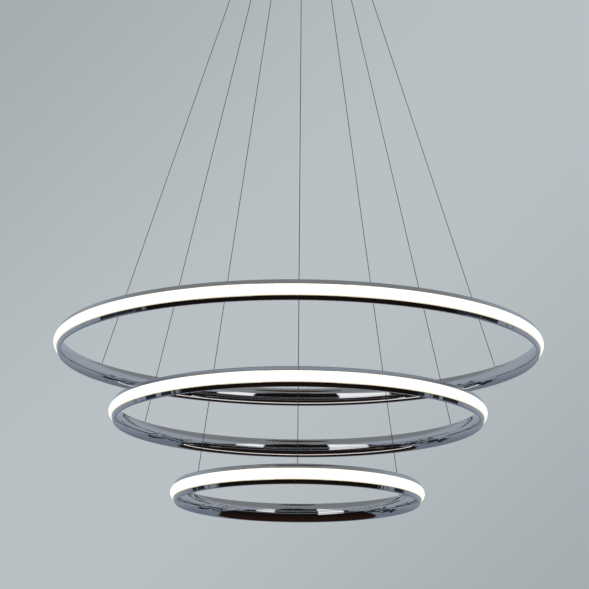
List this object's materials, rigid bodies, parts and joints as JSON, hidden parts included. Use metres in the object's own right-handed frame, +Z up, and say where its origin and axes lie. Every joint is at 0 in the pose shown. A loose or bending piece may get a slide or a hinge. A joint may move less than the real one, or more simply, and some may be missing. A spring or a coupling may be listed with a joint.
{
  "type": "led ring chandelier",
  "caption": "Ring pendant lamp: concentric chromed rings with outward opal light bands hang at stepped heights on taut wires from a round ceiling canopy.",
  "frame": {"origin": "centre of the ceiling plane, in the middle of the ceiling bracket's upper face", "axes": "+Z up to the ceiling, the lamp hangs towards -Z; -Y faces the viewer; X lies along the bracket"},
  "size_m": [0.78, 0.78, 0.9906],
  "materials": {
    "ring_chrome": "bright chrome plate on an aluminium profile",
    "opal_diffuser": "opal, lit warm white",
    "circuit_ribbon": "white solder mask",
    "led_package": "phosphor-filled package",
    "joint_aluminium": "mill finish",
    "zinc_steel": "bright zinc plate",
    "brass_screw": "plain",
    "canopy_chrome": "bright chrome plate",
    "gripper_chrome": "bright chrome plate",
    "sleeve_nickel": "satin nickel plate",
    "wire_steel": "stranded stainless steel under a thin clear sleeve",
    "soft_rubber": "matt",
    "pad_foam": "matt foam tape",
    "terminal_plastic": "moulded",
    "driver_plastic": "moulded"
  },
  "bodies": {
    "canopy": {"ceiling_bracket": "zinc_steel", "canopy_cover": "canopy_chrome", "cover_studs": "zinc_steel", "stud_nuts": "zinc_steel", "cap_nuts": "canopy_chrome", "gripper_nuts": "zinc_steel", "mains_grommet": "soft_rubber", "terminal_block": "terminal_plastic", "terminal_screws": "zinc_steel", "earth_screw": "brass_screw", "driver_pads": "pad_foam", "big_driver": "driver_plastic", "medium_driver": "driver_plastic", "small_driver": "driver_plastic", "big_gripper_bodies": "gripper_chrome", "big_wire_front": "wire_steel", "big_wire_right": "wire_steel", "big_wire_left": "wire_steel", "medium_gripper_bodies": "gripper_chrome", "medium_wire_front": "wire_steel", "medium_wire_right": "wire_steel", "medium_wire_left": "wire_steel", "small_gripper_bodies": "gripper_chrome", "small_wire_front": "wire_steel", "small_wire_right": "wire_steel", "small_wire_left": "wire_steel"},
    "big_ring": {"big_channel": "ring_chrome", "big_diffuser": "opal_diffuser", "big_led_strip": "circuit_ribbon", "big_led_chips": "led_package", "big_joint_key": "joint_aluminium", "big_key_screws": "zinc_steel", "big_wire_ferrules": "gripper_chrome"},
    "big_sleeve_front": {"big_release_sleeve_front": "sleeve_nickel"},
    "big_sleeve_right": {"big_release_sleeve_right": "sleeve_nickel"},
    "big_sleeve_left": {"big_release_sleeve_left": "sleeve_nickel"},
    "medium_ring": {"medium_channel": "ring_chrome", "medium_diffuser": "opal_diffuser", "medium_led_strip": "circuit_ribbon", "medium_led_chips": "led_package", "medium_joint_key": "joint_aluminium", "medium_key_screws": "zinc_steel", "medium_wire_ferrules": "gripper_chrome"},
    "medium_sleeve_front": {"medium_release_sleeve_front": "sleeve_nickel"},
    "medium_sleeve_right": {"medium_release_sleeve_right": "sleeve_nickel"},
    "medium_sleeve_left": {"medium_release_sleeve_left": "sleeve_nickel"},
    "small_ring": {"small_channel": "ring_chrome", "small_diffuser": "opal_diffuser", "small_led_strip": "circuit_ribbon", "small_led_chips": "led_package", "small_joint_key": "joint_aluminium", "small_key_screws": "zinc_steel", "small_wire_ferrules": "gripper_chrome"},
    "small_sleeve_front": {"small_release_sleeve_front": "sleeve_nickel"},
    "small_sleeve_right": {"small_release_sleeve_right": "sleeve_nickel"},
    "small_sleeve_left": {"small_release_sleeve_left": "sleeve_nickel"}
  },
  "joints": [
    {"name": "big_ring_height", "type": "slide", "parent": "canopy", "child": "big_ring", "axis": [0, 0, 1], "range_m": [0, 0.25], "deforming": ["big_wire_front", "big_wire_right", "big_wire_left"]},
    {"name": "big_front_release", "type": "slide", "parent": "canopy", "child": "big_sleeve_front", "axis": [0, 0, 1], "range_m": [0, 0.002], "stiffness_N_per_m": 300, "springref_m": -0.003},
    {"name": "big_right_release", "type": "slide", "parent": "canopy", "child": "big_sleeve_right", "axis": [0, 0, 1], "range_m": [0, 0.002], "stiffness_N_per_m": 300, "springref_m": -0.003},
    {"name": "big_left_release", "type": "slide", "parent": "canopy", "child": "big_sleeve_left", "axis": [0, 0, 1], "range_m": [0, 0.002], "stiffness_N_per_m": 300, "springref_m": -0.003},
    {"name": "medium_ring_height", "type": "slide", "parent": "canopy", "child": "medium_ring", "axis": [0, 0, 1], "range_m": [0, 0.25], "deforming": ["medium_wire_front", "medium_wire_right", "medium_wire_left"]},
    {"name": "medium_front_release", "type": "slide", "parent": "canopy", "child": "medium_sleeve_front", "axis": [0, 0, 1], "range_m": [0, 0.002], "stiffness_N_per_m": 300, "springref_m": -0.003},
    {"name": "medium_right_release", "type": "slide", "parent": "canopy", "child": "medium_sleeve_right", "axis": [0, 0, 1], "range_m": [0, 0.002], "stiffness_N_per_m": 300, "springref_m": -0.003},
    {"name": "medium_left_release", "type": "slide", "parent": "canopy", "child": "medium_sleeve_left", "axis": [0, 0, 1], "range_m": [0, 0.002], "stiffness_N_per_m": 300, "springref_m": -0.003},
    {"name": "small_ring_height", "type": "slide", "parent": "canopy", "child": "small_ring", "axis": [0, 0, 1], "range_m": [0, 0.25], "deforming": ["small_wire_front", "small_wire_right", "small_wire_left"]},
    {"name": "small_front_release", "type": "slide", "parent": "canopy", "child": "small_sleeve_front", "axis": [0, 0, 1], "range_m": [0, 0.002], "stiffness_N_per_m": 300, "springref_m": -0.003},
    {"name": "small_right_release", "type": "slide", "parent": "canopy", "child": "small_sleeve_right", "axis": [0, 0, 1], "range_m": [0, 0.002], "stiffness_N_per_m": 300, "springref_m": -0.003},
    {"name": "small_left_release", "type": "slide", "parent": "canopy", "child": "small_sleeve_left", "axis": [0, 0, 1], "range_m": [0, 0.002], "stiffness_N_per_m": 300, "springref_m": -0.003}
  ]
}
